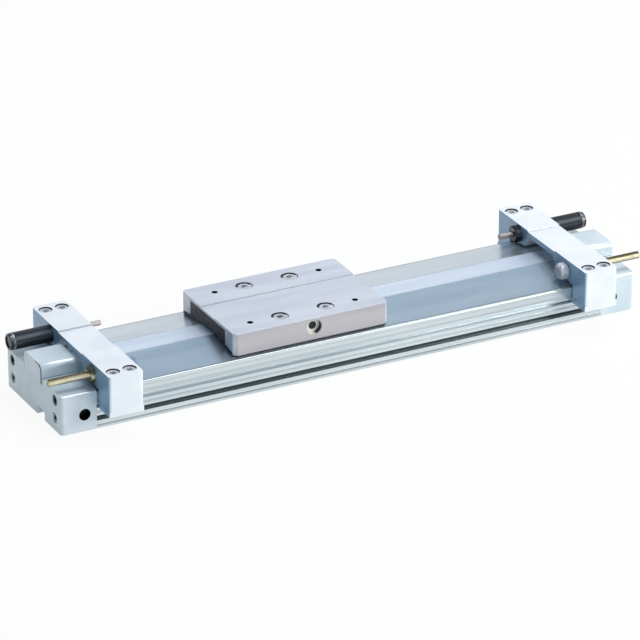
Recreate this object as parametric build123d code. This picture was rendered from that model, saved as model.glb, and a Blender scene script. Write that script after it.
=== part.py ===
from build123d import *
import os

os.makedirs("parts", exist_ok=True)

# Body sizes in millimetres, X runs along the tube and Z up from the mounting face
tube_length = 446.0
head_length = 30.0
half_width = 51.0
tube_end = tube_length / 2
body_end = tube_end + head_length

# Tube section
flange_height = 6.6
tslot_mouth = 4.0
tslot_lip = 1.6
tslot_depth = 5.6
tslot_inner_height = 7.2
rib_face = 50.6
groove_low = 17.4
groove_mouth = 3.0
groove_depth = 4.0
ledge_face = 50.8
ledge_top = 21.8
rim_face = 50.3
rim_top = 31.35
rim_crest = 48.6
flat_half = 11.0
flat_height = 37.4
line_depth = 0.4
chamber_inner = 18.5
chamber_outer = 34.0
chamber_low = 5.0
chamber_high = 29.5

# Bore, slot and the two bands that close the slot
bore_radius = 12.5
bore_height = 19.0
slot_half = 4.0
flare_top = 32.6
flare_low = 29.6
flare_half = 6.3
band_recess = 0.5
dust_band_half = 10.2
dust_band_thickness = 0.7
inner_band_half = 5.2
inner_band_thickness = 1.3
inner_band_top = 32.9
inner_band_wing = inner_band_top - 2.5
strip_half = 3.7
band_clamp_depth = 14.0

# Named clearances
thread_gap = 0.05
running_gap = 0.05
hand_gap = 0.3
band_gap = 0.3
seat_gap = 0.1
seam_gap = 0.5

# Fasteners: thread radius, head radius, head height, key width
m4 = (2.0, 3.5, 4.0, 3.0)
m5 = (2.5, 4.25, 5.0, 4.0)
m6 = (3.0, 5.0, 6.0, 5.0)
m8_low = (4.0, 6.5, 5.0, 5.0)
m6_tap_radius = 2.5

# Head covers
shoulder_edge = 32.4
shoulder_inner = 33.6
head_corner = 3.0
clamp_half = 16.4
clamp_floor = 28.4
clamp_top = 45.0
clamp_corner = 4.0
upper_screw = (40.0, 26.0)
lower_screw = (39.5, 11.0)
head_screw_length = 40.0
counterbore_clearance = 0.15
port_station = body_end - 20.0
port_height = 14.0
port_radius = 4.86
port_depth = 8.0
port_plug_recess = 1.0
port_plug_length = 5.5
passage_radius = 1.8
passage_height = 16.4
air_pocket_radius = 6.0
air_pocket_depth = 14.0
foot_hole_x = body_end - 9.0
foot_hole_y = 28.0
foot_hole_depth = 12.0
notch_depth = 9.0
notch_inner = 6.0
notch_outer = 20.0
notch_height = 8.0
clamp_screw_x = body_end - 9.5
clamp_screw_length = 25.0
clamp_screw_seat = 10.0
gasket_half = 33.0
gasket_low = 2.0
gasket_top = clamp_floor - 1.4
gasket_bore = bore_radius + 0.7
gasket_depth = 1.6

# Slide table and what rides with it
table_centre = -36.0
table_length = 135.0
table_half = 47.0
table_top = 51.5
centre_drop = 0.7
pad_inner = 13.0
table_corner = 3.0
roof_clearance = 1.2
scraper_width = 2.6
scraper_top = 33.2
cover_half = 31.0
cover_top = 49.0
cover_depth = 6.0
lip_half = 44.0
lip_depth = 3.0
lip_height = 2.6
payload_x = table_length / 2 - 21.5
payload_y = table_half - 15.5
payload_depth = 10.0
table_screw_x = 20.0
table_screw_y = payload_y
table_screw_bore = 7.0
table_screw_seat = 46.1
table_screw_length = 9.6
plug_x = table_centre + 2.5
plug_height = 43.5
plug_radius = 6.5
plug_depth = 5.0
pad_length = 20.0
pad_edge = 7.5
bearing_inner = 22.0
guide_length = 7.4
guide_lead = 4.0

# Yoke that joins the piston to the table through the slot
arch_length = 20.0
arch_underside = 40.7
neck_half_length = table_length / 2 - cover_depth - seat_gap - guide_length - guide_lead - arch_length
neck_half = 3.7
neck_low = 28.5
yoke_half_length = table_length / 2 - pad_edge - pad_length - 2.0
yoke_half = 38.0
yoke_top = 42.9
yoke_clearance = 1.0
web_low = 38.0
web_high = 40.4
dip_length = 24.0
dip_low = 24.9
separator_length = 19.0
cradle_radius = 12.0
tunnel_half = 4.2
piston_radius = 12.2
piston_length = 24.0
link_length = 26.0
link_top = 23.6
tongue_half = 4.0
tongue_low = 10.5
tongue_high = 19.5
tongue_length = 14.0
pin_radius = 1.5
groove_start = 7.0
seal_width = 4.0
wear_ring_width = 6.0
groove_radius = 10.0
ring_radius = bore_radius - running_gap
magnet_half = 5.0
magnet_length = 28.0
magnet_low = 7.6
magnet_high = 11.8

# Stroke adjusting bridges
bridge_length = 29.0
bridge_left = -tube_end + 1.5
bridge_right = tube_end + 2.0 - bridge_length
bridge_half = 72.0
bridge_top = 51.4
bridge_centre_top = 50.4
bridge_pad_inner = 22.5
bridge_opening = 46.0
opening_corner = 42.0
leg_inner = 51.6
leg_low = 22.3
bridge_corner = 2.5
block_low = 33.0
block_inner = 26.0
block_inner_low = 36.2
bridge_screw_y = bridge_half - 9.5
bridge_screw_pitch = 14.0
bridge_screw_seat = 44.4
bridge_screw_length = 26.0
bridge_bore_radius = 5.5
bar_low = 17.6
bar_high = 22.1
bar_outer = bridge_half - 0.4
bar_inner = 51.3
tongue_tip = 47.1

# Shock absorbers and adjusting bolts
absorber_y = 38.0
absorber_height = 43.0
absorber_radius = 7.0
absorber_length = 66.0
absorber_reach_left = 1.5
absorber_reach_right = 5.3
absorber_stroke = 12.0
rod_radius = 2.2
rod_extension = absorber_stroke + 0.4
rod_engagement = 16.0
bolt_y = -41.0
bolt_height = 42.0
bolt_radius = 3.0
bolt_reach = 37.5
bolt_head_af = 12.0
bolt_head_height = 7.5
bolt_nut_af = 13.0
bolt_nut_height = 3.0


# Prism between two stations along X from a (y, z) outline
def prism(points, x0, x1):
    face = make_face(Polyline(*points, close=True))
    return extrude(Plane.YZ.offset(x0) * face, amount=x1 - x0, dir=(1, 0, 0))


# Prism across the tube from an (x, z) outline
def strip(points, half):
    face = make_face(Polyline(*points, close=True))
    return extrude(Plane.XZ.offset(-half) * face, amount=2 * half, dir=(0, -1, 0))


# Box from its limits
def block(x0, x1, y0, y1, z0, z1):
    centre = Pos((x0 + x1) / 2, (y0 + y1) / 2, (z0 + z1) / 2)
    return centre * Box(x1 - x0, y1 - y0, z1 - z0)


# Cylinders along each axis
def rod_x(x0, x1, y, z, radius):
    return Pos((x0 + x1) / 2, y, z) * Rot(0, 90, 0) * Cylinder(radius, abs(x1 - x0))


def rod_y(x, y0, y1, z, radius):
    return Pos(x, (y0 + y1) / 2, z) * Rot(90, 0, 0) * Cylinder(radius, abs(y1 - y0))


def rod_z(x, y, z0, z1, radius):
    return Pos(x, y, (z0 + z1) / 2) * Cylinder(radius, abs(z1 - z0))


# Hexagon along X, with flats facing up and down
def hex_x(x0, x1, y, z, across_flats):
    outline = RegularPolygon(across_flats / 2, 6, major_radius=False, rotation=30)
    bar = extrude(outline, amount=abs(x1 - x0))
    return Pos(min(x0, x1), y, z) * Rot(0, 90, 0) * bar


# Points of an outline given for the far side, repeated for the near side
def mirrored(half):
    near = [(-y, z) for y, z in reversed(half) if y > 0]
    return half + near


# Height of the sloping tube roof
def roof(y):
    slope = (flat_height - rim_top) / (rim_crest - flat_half)
    return min(flat_height, rim_top + (rim_crest - abs(y)) * slope)


# Cap screw with its head seat at the origin and its shank pointing down
def cap_screw(size, length):
    radius, head_radius, head_height, key = size
    screw = rod_z(0, 0, -length, 0, radius) + rod_z(0, 0, 0, head_height, head_radius)
    socket = extrude(RegularPolygon(key / 2, 6, major_radius=False), amount=-head_height / 2)
    return screw - Pos(0, 0, head_height) * socket


# Turn a piece made for the left end into the one for the right end
def other_end(piece):
    return mirror(piece, about=Plane.YZ)


def tube_outline():
    mouth_top = flange_height + tslot_mouth
    inner_low = flange_height - (tslot_inner_height - tslot_mouth) / 2
    inner_high = inner_low + tslot_inner_height
    lip_face = half_width - tslot_lip
    slot_floor = half_width - tslot_depth
    groove_top = groove_low + groove_mouth
    recess_half = dust_band_half + band_gap
    half = [
        (0, 0),
        (half_width, 0),
        (half_width, 2.5),
        (half_width - line_depth, 2.9),
        (half_width, 3.3),
        (half_width, flange_height),
        (lip_face, flange_height),
        (lip_face, inner_low),
        (slot_floor, inner_low),
        (slot_floor, inner_high),
        (lip_face, inner_high),
        (lip_face, mouth_top),
        (rib_face, mouth_top),
        (rib_face, 13.8),
        (rib_face - line_depth, 14.2),
        (rib_face, 14.6),
        (rib_face, groove_low),
        (ledge_face - groove_depth, groove_low),
        (ledge_face - groove_depth, groove_top),
        (ledge_face, groove_top),
        (ledge_face, ledge_top),
        (rim_face, ledge_top),
        (rim_face, rim_top - 1.3),
        (rim_face - 0.4, rim_top - 0.5),
        (rim_face - 1.0, rim_top - 0.1),
        (rim_crest, rim_top),
        (flat_half, flat_height),
        (recess_half, flat_height),
        (recess_half, flat_height - band_recess),
    ]
    return mirrored(half)


def cylinder_tube():
    tube = prism(tube_outline(), -tube_end, tube_end)
    slot = [
        (slot_half, flat_height),
        (slot_half, flare_top),
        (flare_half, flare_low),
        (-flare_half, flare_low),
        (-slot_half, flare_top),
        (-slot_half, flat_height),
    ]
    tube -= rod_x(-tube_end, tube_end, 0, bore_height, bore_radius)
    tube -= prism(slot, -tube_end, tube_end)
    for side in (-1, 1):
        near = side * chamber_inner
        far = side * chamber_outer
        tube -= block(-tube_end, tube_end, min(near, far), max(near, far), chamber_low, chamber_high)
        for y, z in (upper_screw, lower_screw):
            tube -= rod_x(-tube_end, tube_end, side * y, z, m5[0] + thread_gap)
    return tube


# Head cover at the left end; the right one is its mirror image
def head_cover():
    pocket = clamp_half + seam_gap
    half = [
        (0, 0),
        (half_width, 0),
        (half_width, shoulder_edge - 1.0),
        (half_width - 0.3, shoulder_edge - 0.3),
        (half_width - 1.0, shoulder_edge),
        (pocket, shoulder_inner),
        (pocket, clamp_floor),
    ]
    outer = -body_end
    inner = -tube_end
    head = prism(mirrored(half), outer, inner)
    # The upright corners of the end face are rounded
    rim = head.edges().filter_by(Axis.Z).group_by(Axis.X)[0].sort_by(Axis.Y)
    head = fillet([rim[0], rim[-1]], head_corner)
    seat = m5[2] + 0.4
    floor = half_width - port_depth
    for side in (-1, 1):
        for y, z in (upper_screw, lower_screw):
            head -= rod_x(outer, outer + seat, side * y, z, m5[1] + counterbore_clearance)
            head -= rod_x(outer, inner, side * y, z, m5[0] + 0.25)
        head -= rod_y(-port_station, side * half_width, side * floor, port_height, port_radius)
        head -= rod_z(-foot_hole_x, side * foot_hole_y, 0, foot_hole_depth, m6_tap_radius)
    head -= rod_y(-port_station, -floor, floor, passage_height, passage_radius)
    head -= rod_x(inner - air_pocket_depth, inner, 0, bore_height, air_pocket_radius)
    head -= rod_z(-clamp_screw_x, 0, 0, clamp_screw_seat, m4[1] + 0.2)
    head -= rod_z(-clamp_screw_x, 0, 0, clamp_floor, m4[0] + 0.25)
    half = gasket_half + seat_gap
    head -= block(inner - gasket_depth, inner, -half, half, gasket_low - seat_gap, gasket_top + seat_gap)
    return head - head_notch()


# Arched notch in the lower edge of the end face, near side
def head_notch():
    middle = -(notch_inner + notch_outer) / 2
    half = (notch_outer - notch_inner) / 2
    outer = -body_end
    low = block(outer, outer + notch_depth, middle - half, middle + half, 0, notch_height - 3.0)
    crown = make_face(Polyline(
        (middle - half, notch_height - 3.0),
        (middle - half + 1.5, notch_height - 1.0),
        (middle - half + 4.0, notch_height),
        (middle + half - 4.0, notch_height),
        (middle + half - 1.5, notch_height - 1.0),
        (middle + half, notch_height - 3.0),
        close=True,
    ))
    return low + extrude(Plane.YZ.offset(outer) * crown, amount=notch_depth, dir=(1, 0, 0))


# Flat gasket around the bore mouth, open under the band clamp
def tube_gasket():
    start = -tube_end - gasket_depth
    plate = block(start, -tube_end, -gasket_half, gasket_half, gasket_low, gasket_top)
    return plate - rod_x(start, -tube_end, 0, bore_height, gasket_bore)


# Block that clamps both band ends, held from below
def band_clamp():
    body = block(-body_end, -tube_end, -clamp_half, clamp_half, clamp_floor, clamp_top)
    ridge = body.edges().filter_by(Axis.X).group_by(Axis.Z)[-1]
    body = fillet(ridge, clamp_corner)
    reach = -tube_end - band_clamp_depth
    low = flat_height - band_recess - seat_gap
    high = flat_height - band_recess + dust_band_thickness + seat_gap
    body -= block(reach, -tube_end, -dust_band_half - seat_gap, dust_band_half + seat_gap, low, high)
    half = inner_band_half + 0.4
    body -= block(reach, -tube_end, -half, half, inner_band_wing - 0.2, inner_band_top + 0.2)
    top = clamp_screw_seat + clamp_screw_length + 1.0
    return body - rod_z(-clamp_screw_x, 0, clamp_floor, top, m4[0] + thread_gap)


def clamp_screw():
    screw = Rot(180, 0, 0) * cap_screw(m4, clamp_screw_length)
    return Pos(-clamp_screw_x, 0, clamp_screw_seat) * screw


def head_screws():
    screws = []
    seat = -body_end + m5[2] + 0.4
    for y, z in (upper_screw, lower_screw):
        for side in (-1, 1):
            screw = Rot(0, -90, 0) * cap_screw(m5, head_screw_length)
            screws.append(Pos(seat, side * y, z) * screw)
    return screws


# Socket plug in the unused far port
def port_plug():
    face = half_width - port_plug_recess
    plug = rod_y(-port_station, face - port_plug_length, face, port_height, port_radius - thread_gap)
    socket = extrude(RegularPolygon(2.5, 6, major_radius=False), amount=3.0)
    return plug - Pos(-port_station, face, port_height) * Rot(90, 0, 0) * socket


# Outer band: flat in its recess, lifted over the web of the yoke
def dust_seal_band():
    low = flat_height - band_recess
    lift = arch_underside
    thick = dust_band_thickness
    end = tube_end + band_clamp_depth - hand_gap
    a = table_centre - neck_half_length
    b = table_centre + neck_half_length
    under = [
        (-end, low),
        (a - arch_length, low),
        (a, lift),
        (b, lift),
        (b + arch_length, low),
        (end, low),
    ]
    over = [(x, z + thick) for x, z in reversed(under)]
    return strip(under + over, dust_band_half)


# Inner band: seals the slot from inside the bore, led down under the neck
def inner_seal_band():
    thick = inner_band_thickness
    high = inner_band_top - thick
    end = tube_end + band_clamp_depth - hand_gap
    a = table_centre - neck_half_length
    b = table_centre + neck_half_length
    under = [
        (a - dip_length - 2, high),
        (a - dip_length, high),
        (a, dip_low),
        (b, dip_low),
        (b + dip_length, high),
        (b + dip_length + 2, high),
    ]
    over = [(x, z + thick) for x, z in reversed(under)]
    band = strip(under + over, strip_half)
    edge = inner_band_top - 0.7
    profile = [
        (inner_band_half, inner_band_wing),
        (strip_half + 0.3, edge),
        (strip_half - 0.1, inner_band_top),
        (-strip_half + 0.1, inner_band_top),
        (-strip_half - 0.3, edge),
        (-inner_band_half, inner_band_wing),
    ]
    clear = rod_x(-end, end, 0, bore_height, bore_radius + 0.1)
    for x0, x1 in ((-end, a - dip_length - 1), (b + dip_length + 1, end)):
        band += prism(profile, x0, x1) - clear
    return band


def slide_table():
    start = table_centre - table_length / 2
    end = table_centre + table_length / 2
    half = [
        (0, roof(0) + roof_clearance),
        (flat_half, roof(flat_half) + roof_clearance),
        (table_half, roof(table_half) + roof_clearance),
        (table_half, table_top - 0.8),
        (table_half - 0.8, table_top),
        (pad_inner + 0.4, table_top),
        (pad_inner, table_top - centre_drop),
        (0, table_top - centre_drop),
    ]
    table = prism(mirrored(half), start, end)
    plan = Rectangle(table_length, 2 * table_half)
    plan = chamfer(plan.vertices(), table_corner)
    table = table & (Pos(table_centre, 0, 0) * extrude(plan, amount=2 * table_top))
    for side in (-1, 1):
        near = side * (table_half - scraper_width - seat_gap)
        edge = side * (table_half + 1)
        table -= block(start, end, min(near, edge), max(near, edge), 0, scraper_top)
        outer = start if side < 0 else end
        inner = outer - side * (cover_depth + seat_gap)
        opening = cover_half + seat_gap
        table -= block(min(outer, inner), max(outer, inner), -opening, opening, 0, cover_top + seat_gap)
        inner = outer - side * (lip_depth + seat_gap)
        rebate = [(y, z + seat_gap) for y, z in lip_outline(lip_half + seat_gap)]
        table -= prism(rebate, min(outer, inner), max(outer, inner))
    pocket = yoke_half + hand_gap
    reach = yoke_half_length + hand_gap
    table -= block(table_centre - reach, table_centre + reach, -pocket, pocket, 0, yoke_top)
    tunnel = cover_depth + seat_gap
    table -= block(start + tunnel, end - tunnel, -dust_band_half - 0.6, dust_band_half + 0.6, 0, yoke_top)
    for x in (-payload_x, payload_x):
        for y in (-payload_y, payload_y):
            table -= rod_z(table_centre + x, y, table_top - payload_depth, table_top, m6_tap_radius)
    for x in (-table_screw_x, table_screw_x):
        for y in (-table_screw_y, table_screw_y):
            table -= rod_z(table_centre + x, y, table_screw_seat, table_top, table_screw_bore)
            table -= rod_z(table_centre + x, y, yoke_top, table_top, m8_low[0] + 0.3)
    return table - rod_y(plug_x, -table_half, -table_half + plug_depth, plug_height, plug_radius + seat_gap)


# Outline of the lip under each end cover, following the tube roof
def lip_outline(half):
    low = roof_clearance - 0.85
    high = low + lip_height
    band_top = flat_height - band_recess + dust_band_thickness + band_gap
    points = [
        (0, band_top),
        (flat_half + 0.3, band_top),
        (flat_half + 0.3, roof(flat_half + 0.3) + low),
        (half, roof(half) + low),
        (half, roof(half) + high),
        (flat_half, flat_height + high),
        (0, flat_height + high),
    ]
    return mirrored(points)


def end_cover():
    start = table_centre - table_length / 2
    floor = flat_height + 0.6
    cover = block(start, start + cover_depth, -cover_half, cover_half, floor, cover_top)
    roofline = [(y, z) for y, z in lip_outline(cover_half)]
    cover += prism(lip_outline(lip_half), start, start + lip_depth)
    return cover + prism(roofline, start, start + cover_depth)


def side_scrapers():
    start = table_centre - table_length / 2 + table_corner + 0.5
    end = table_centre + table_length / 2 - table_corner - 0.5
    inner = table_half - scraper_width
    strips = []
    for side in (-1, 1):
        points = [
            (side * inner, scraper_top),
            (side * table_half, scraper_top),
            (side * table_half, roof(table_half) + 0.3),
            (side * inner, roof(inner) + 0.3),
        ]
        strips.append(prism(points, start, end))
    return strips


# Resin pads that slide on the roof, one at each corner of the table
def roof_bearings():
    outer = lip_half - 0.2
    pads = []
    for end in (-1, 1):
        a = table_centre + end * (table_length / 2 - pad_edge)
        b = a - end * pad_length
        for side in (-1, 1):
            points = [
                (side * bearing_inner, roof(bearing_inner) + running_gap),
                (side * outer, roof(outer) + running_gap),
                (side * outer, roof(outer) + roof_clearance),
                (side * bearing_inner, roof(bearing_inner) + roof_clearance),
            ]
            pads.append(prism(points, min(a, b), max(a, b)))
    return pads


# Resin blocks that press the outer band back into its recess
def band_guides():
    guides = []
    for end in (-1, 1):
        a = table_centre + end * (table_length / 2 - cover_depth - seat_gap)
        b = a - end * guide_length
        low = flat_height - band_recess + dust_band_thickness + band_gap
        guides.append(block(min(a, b), max(a, b), -dust_band_half, dust_band_half, low, yoke_top))
    return guides


def table_screws():
    screws = []
    for x in (-table_screw_x, table_screw_x):
        for y in (-table_screw_y, table_screw_y):
            screw = cap_screw(m8_low, table_screw_length)
            screws.append(Pos(table_centre + x, y, table_screw_seat) * screw)
    return screws


def side_plug():
    face = -table_half + 0.8
    plug = rod_y(plug_x, face, -table_half + plug_depth, plug_height, plug_radius)
    socket = extrude(RegularPolygon(2.5, 6, major_radius=False), amount=2.5)
    return plug - Pos(plug_x, face + 2.5, plug_height) * Rot(90, 0, 0) * socket


# Piston yoke: cradle in the bore, neck in the slot and cheeks under the table
def piston_yoke():
    a = table_centre - neck_half_length
    b = table_centre + neck_half_length
    yoke = rod_x(a, b, 0, bore_height, cradle_radius)
    yoke -= block(a, b, -tunnel_half, tunnel_half, dip_low - 0.4, dip_low + inner_band_thickness + 0.5)
    yoke += block(a, b, -neck_half, neck_half, neck_low, web_high)
    yoke += block(a, b, -flat_half - 1.0, flat_half + 1.0, web_low, web_high)
    inner = dust_band_half + 0.6
    for side in (-1, 1):
        points = [
            (side * inner, roof(inner) + yoke_clearance),
            (side * yoke_half, roof(yoke_half) + yoke_clearance),
            (side * yoke_half, yoke_top),
            (side * inner, yoke_top),
        ]
        start = table_centre - yoke_half_length
        yoke += prism(points, start, start + 2 * yoke_half_length)
    for x in (-table_screw_x, table_screw_x):
        for y in (-table_screw_y, table_screw_y):
            yoke -= rod_z(table_centre + x, y, roof(yoke_half), yoke_top, m8_low[0] + thread_gap)
    mouth = tongue_half + seat_gap
    for end in (-1, 1):
        face = table_centre + end * neck_half_length
        back = face - end * (tongue_length + 1.0)
        low = min(face, back)
        high = max(face, back)
        yoke -= block(low, high, -mouth, mouth, tongue_low - seat_gap, tongue_high + seat_gap)
        yoke -= rod_z(face - end * tongue_length / 2, 0, 0, dip_low - 0.4, pin_radius + thread_gap)
    half = magnet_half + seat_gap
    start = table_centre - magnet_length / 2 - seat_gap
    end = table_centre + magnet_length / 2 + seat_gap
    return yoke - block(start, end, -half, half, 0, magnet_high + seat_gap)


# Piston at the left of the yoke, with a link and a tongue that the yoke holds
def piston():
    root = table_centre - neck_half_length
    inner = root - link_length
    outer = inner - piston_length
    body = rod_x(outer, root, 0, bore_height, piston_radius)
    body -= block(inner, root, -piston_radius, piston_radius, link_top, 2 * bore_height)
    body += block(root, root + tongue_length, -tongue_half, tongue_half, tongue_low, tongue_high)
    start = outer + groove_start
    end = start + seal_width + wear_ring_width
    groove = rod_x(start, end, 0, bore_height, piston_radius + 1)
    body -= groove - rod_x(start, end, 0, bore_height, groove_radius)
    middle = root + tongue_length / 2
    return body - rod_z(middle, 0, tongue_low, tongue_high, pin_radius + thread_gap)


# Rings side by side in the piston groove, running in the bore
def groove_ring(offset, width):
    outer = table_centre - neck_half_length - link_length - piston_length
    x0 = outer + groove_start + offset
    x1 = x0 + width
    ring = rod_x(x0 + seat_gap / 2, x1 - seat_gap / 2, 0, bore_height, ring_radius)
    return ring - rod_x(x0, x1, 0, bore_height, groove_radius + running_gap)


def piston_pins():
    x = neck_half_length - tongue_length / 2
    low = bore_height - cradle_radius + 1.0
    high = dip_low - 1.2
    return [rod_z(table_centre + side * x, 0, low, high, pin_radius) for side in (-1, 1)]


def piston_magnet():
    start = table_centre - magnet_length / 2
    return block(start, start + magnet_length, -magnet_half, magnet_half, magnet_low, magnet_high)


# Wedges in the slot that part the two bands ahead of the neck
def band_separators():
    face = table_centre - neck_half_length
    tip = face - separator_length
    drop = (inner_band_top - dip_low - inner_band_thickness) / dip_length
    low = dip_low + inner_band_thickness + 0.3
    points = [
        (face, low),
        (face, flat_height - band_recess - 0.4),
        (tip, flat_height - band_recess - 0.4),
        (tip, low + separator_length * drop),
    ]
    left = strip(points, neck_half)
    right = strip([(2 * table_centre - x, z) for x, z in points], neck_half)
    return [left, right]


# Portal that straddles the tube and carries the two stops, from station x0
def adjuster_bridge(x0):
    half = [
        (0, bridge_opening),
        (clamp_half + 2.1, bridge_opening),
        (bridge_pad_inner - 0.5, opening_corner),
        (block_inner, block_inner_low),
        (leg_inner, block_low),
        (leg_inner, leg_low),
        (bridge_half, leg_low),
        (bridge_half, bridge_top),
        (bridge_pad_inner, bridge_top),
        (bridge_pad_inner - 0.5, bridge_centre_top),
        (0, bridge_centre_top),
    ]
    x1 = x0 + bridge_length
    bridge = prism(mirrored(half), x0, x1)
    corners = bridge.edges().filter_by(Axis.Z).filter_by(lambda e: abs(e.center().Y) > bridge_half - 0.1)
    bridge = fillet(corners, bridge_corner)
    bridge -= rod_x(x0, x1, absorber_y, absorber_height, absorber_radius + thread_gap)
    bridge -= rod_x(x0, x1, bolt_y, bolt_height, bolt_radius + thread_gap)
    for x, y in bridge_screw_places(x0):
        bridge -= rod_z(x, y, bridge_screw_seat, bridge_top, bridge_bore_radius)
        bridge -= rod_z(x, y, leg_low, bridge_top, m6[0] + 0.3)
    return bridge


def bridge_screw_places(x0):
    middle = x0 + bridge_length / 2
    half = bridge_screw_pitch / 2
    return [(middle + i * half, j * bridge_screw_y) for i in (-1, 1) for j in (-1, 1)]


def bridge_screws(x0):
    screw = cap_screw(m6, bridge_screw_length)
    return [Pos(x, y, bridge_screw_seat) * screw for x, y in bridge_screw_places(x0)]


# Bars under the legs, with a tongue that stays within the tube groove
def clamp_bars(x0):
    x1 = x0 + bridge_length
    low = groove_low + hand_gap
    high = groove_low + groove_mouth - hand_gap
    bars = []
    for side in (-1, 1):
        inner = side * bar_inner
        outer = side * bar_outer
        tip = side * tongue_tip
        bar = block(x0, x1, min(inner, outer), max(inner, outer), bar_low, bar_high)
        bar += block(x0, min(x1, tube_end - seam_gap), min(tip, inner), max(tip, inner), low, high)
        for x, y in bridge_screw_places(x0):
            if y * side > 0:
                bar -= rod_z(x, y, bar_low, bar_high, m6[0] + thread_gap)
        bars.append(bar)
    return bars


# Threaded absorber body at the left end, reaching inwards past its bridge
def shock_absorber(reach):
    inner = bridge_left + bridge_length + reach
    body = rod_x(inner - absorber_length, inner, absorber_y, absorber_height, absorber_radius)
    bottom = inner - rod_engagement - absorber_stroke - 1.0
    return body - rod_x(bottom, inner, absorber_y, absorber_height, rod_radius + running_gap)


def absorber_rod(reach):
    inner = bridge_left + bridge_length + reach
    return rod_x(inner - rod_engagement, inner + rod_extension, absorber_y, absorber_height, rod_radius)


def adjusting_bolt():
    head = bridge_left + bridge_length + hand_gap
    bolt = rod_x(bridge_left - bolt_reach, head, bolt_y, bolt_height, bolt_radius)
    return bolt + hex_x(head, head + bolt_head_height, bolt_y, bolt_height, bolt_head_af)


def bolt_lock_nut():
    start = bridge_left - bolt_nut_height
    nut = hex_x(start, bridge_left, bolt_y, bolt_height, bolt_nut_af)
    return nut - rod_x(start, bridge_left, bolt_y, bolt_height, bolt_radius + thread_gap)


# Copy of a left stop piece on the bridge at the right end
def at_right_bridge(piece):
    shift = bridge_right + bridge_left + bridge_length
    return Pos(shift, 0, 0) * other_end(piece)


# Mirror about the middle of the table
def other_side_of_yoke(piece):
    return Pos(2 * table_centre, 0, 0) * other_end(piece)


nodes = {
    "cylinder_tube": cylinder_tube(),
    "dust_seal_band": dust_seal_band(),
    "inner_seal_band": inner_seal_band(),
    "slide_table": slide_table(),
    "side_scrapers": side_scrapers(),
    "roof_bearings": roof_bearings(),
    "band_guides": band_guides(),
    "table_screws": table_screws(),
    "side_plug": side_plug(),
    "piston_yoke": piston_yoke(),
    "piston_pins": piston_pins(),
    "piston_magnet": piston_magnet(),
    "band_separators": band_separators(),
    "adjuster_bridge_left": adjuster_bridge(bridge_left),
    "adjuster_bridge_right": adjuster_bridge(bridge_right),
    "bridge_screws": bridge_screws(bridge_left) + bridge_screws(bridge_right),
    "clamp_bars_left": clamp_bars(bridge_left),
    "clamp_bars_right": clamp_bars(bridge_right),
    "bolt_lock_nuts": [bolt_lock_nut(), at_right_bridge(bolt_lock_nut())],
    "port_plugs": [port_plug(), other_end(port_plug())],
    "clamp_screws": [clamp_screw(), other_end(clamp_screw())],
    "head_screws": head_screws() + [other_end(screw) for screw in head_screws()],
}

# Pieces made for the left end and repeated at the right end
head_pieces = {
    "head_cover": head_cover(),
    "tube_gasket": tube_gasket(),
    "band_clamp": band_clamp(),
}
for name, piece in head_pieces.items():
    nodes[name + "_left"] = piece
    nodes[name + "_right"] = other_end(piece)

nodes["adjusting_bolt_left"] = adjusting_bolt()
nodes["adjusting_bolt_right"] = at_right_bridge(adjusting_bolt())
nodes["shock_absorber_left"] = shock_absorber(absorber_reach_left)
nodes["shock_absorber_right"] = at_right_bridge(shock_absorber(absorber_reach_right))
nodes["absorber_rod_left"] = absorber_rod(absorber_reach_left)
nodes["absorber_rod_right"] = at_right_bridge(absorber_rod(absorber_reach_right))

carriage_pieces = {
    "end_cover": end_cover(),
    "piston": piston(),
}
for name, piece in carriage_pieces.items():
    nodes[name + "_left"] = piece
    nodes[name + "_right"] = other_side_of_yoke(piece)

seal = groove_ring(0, seal_width)
wear_ring = groove_ring(seal_width, wear_ring_width)
nodes["piston_seals"] = [seal, other_side_of_yoke(seal)]
nodes["wear_rings"] = [wear_ring, other_side_of_yoke(wear_ring)]

for name, piece in nodes.items():
    shape = Compound(piece) if isinstance(piece, list) else piece
    export_step(shape, "parts/" + name + ".step")
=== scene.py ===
# %% [markdown]
# # A rodless air cylinder, dressed for the studio
# The cylinder is a slotted aluminium tube with a table that slides along its roof. Two pale
# portals near the ends carry shock absorbers and stop bolts. This lesson starts from the packed
# model and gives each piece the finish that the real one has.

# %% Load the imported model
import math

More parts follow.
